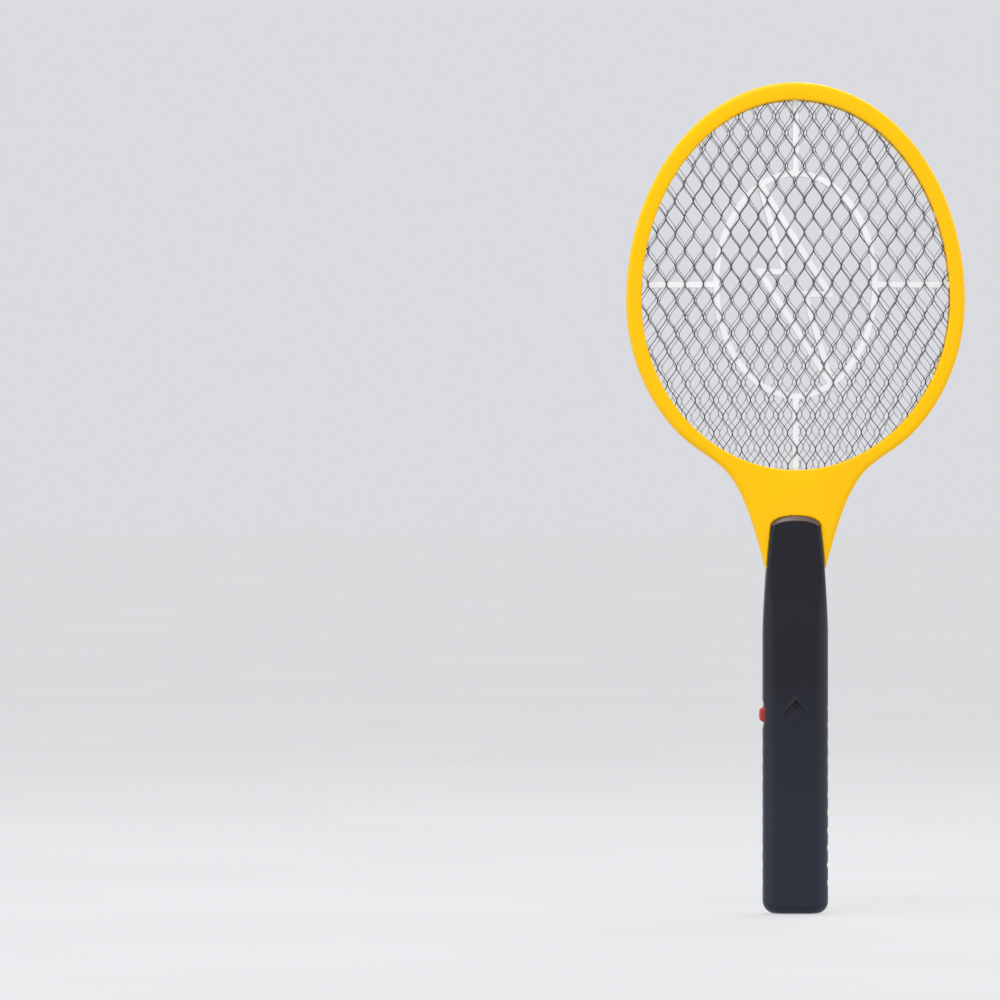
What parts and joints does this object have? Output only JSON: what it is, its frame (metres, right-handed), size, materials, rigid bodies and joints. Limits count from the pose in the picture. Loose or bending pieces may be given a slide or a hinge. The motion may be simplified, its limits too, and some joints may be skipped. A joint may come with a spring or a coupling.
{
  "type": "electric fly swatter",
  "caption": "Hand-held electric swatter: egg-shaped head with stacked metal grids on a slim battery handle with a side push button and a sliding battery cover.",
  "frame": {"origin": "centre of the butt of the handle, on the parting plane", "axes": "+Z from the butt to the crown of the head, -Y out of the front face that carries the lamp, +X to the right seen from the front"},
  "size_m": [0.18, 0.028, 0.442],
  "materials": {
    "yellow_abs": "smooth moulded, satin gloss",
    "dark_abs": "fine matte spark texture",
    "white_abs": "smooth moulded",
    "red_abs": "smooth moulded",
    "grid_metal": "bare expanded sheet",
    "tinned_steel": "tin plate",
    "screw_steel": "blackened zinc",
    "black_plastic": "moulded",
    "ivory_plastic": "moulded",
    "phenolic_board": "laminate",
    "ferrite": "sintered",
    "coil_tape": "wound tape",
    "brown_film": "dipped",
    "blue_ceramic": "dipped",
    "tan_resistor": "lacquer",
    "pink_lamp": "translucent epoxy",
    "cell_sleeve": "printed film over a steel can",
    "red_insulation": "soft PVC",
    "black_insulation": "soft PVC"
  },
  "bodies": {
    "racket": {"head_front_frame": "yellow_abs", "head_rear_frame": "yellow_abs", "front_grid": "grid_metal", "center_grid": "grid_metal", "rear_grid": "grid_metal", "front_spacer": "white_abs", "rear_spacer": "white_abs", "grid_bridge": "tinned_steel", "head_screws": "screw_steel", "handle_screws": "screw_steel", "handle_front_shell": "dark_abs", "handle_rear_shell": "dark_abs", "push_switch": "black_plastic", "circuit_board": "phenolic_board", "transformer_core": "ferrite", "transformer_coil": "coil_tape", "hv_capacitor": "brown_film", "ceramic_capacitors": "blue_ceramic", "rectifier_diodes": "black_plastic", "transistor": "black_plastic", "resistors": "tan_resistor", "indicator_led": "pink_lamp", "battery_left": "cell_sleeve", "battery_right": "cell_sleeve", "battery_springs": "tinned_steel", "contact_plates": "tinned_steel", "battery_wires": "red_insulation", "hv_lead": "red_insulation", "ground_lead": "black_insulation"},
    "cover": {"battery_cover": "dark_abs"},
    "button": {"trigger_button": "red_abs"},
    "plunger": {"switch_plunger": "ivory_plastic"}
  },
  "joints": [
    {"name": "trigger_press", "type": "slide", "parent": "racket", "child": "button", "axis": [1, 0, 0], "range_m": [0, 0.0015], "stiffness_N_per_m": 800, "springref_m": -0.0008},
    {"name": "plunger_press", "type": "slide", "parent": "racket", "child": "plunger", "axis": [1, 0, 0], "range_m": [0, 0.0015]},
    {"name": "battery_cover_slide", "type": "slide", "parent": "racket", "child": "cover", "axis": [0, 0, -1], "range_m": [0, 0.08]}
  ],
  "couplings": [
    {"joint": "plunger_press", "follows": "trigger_press", "ratio": 1}
  ]
}
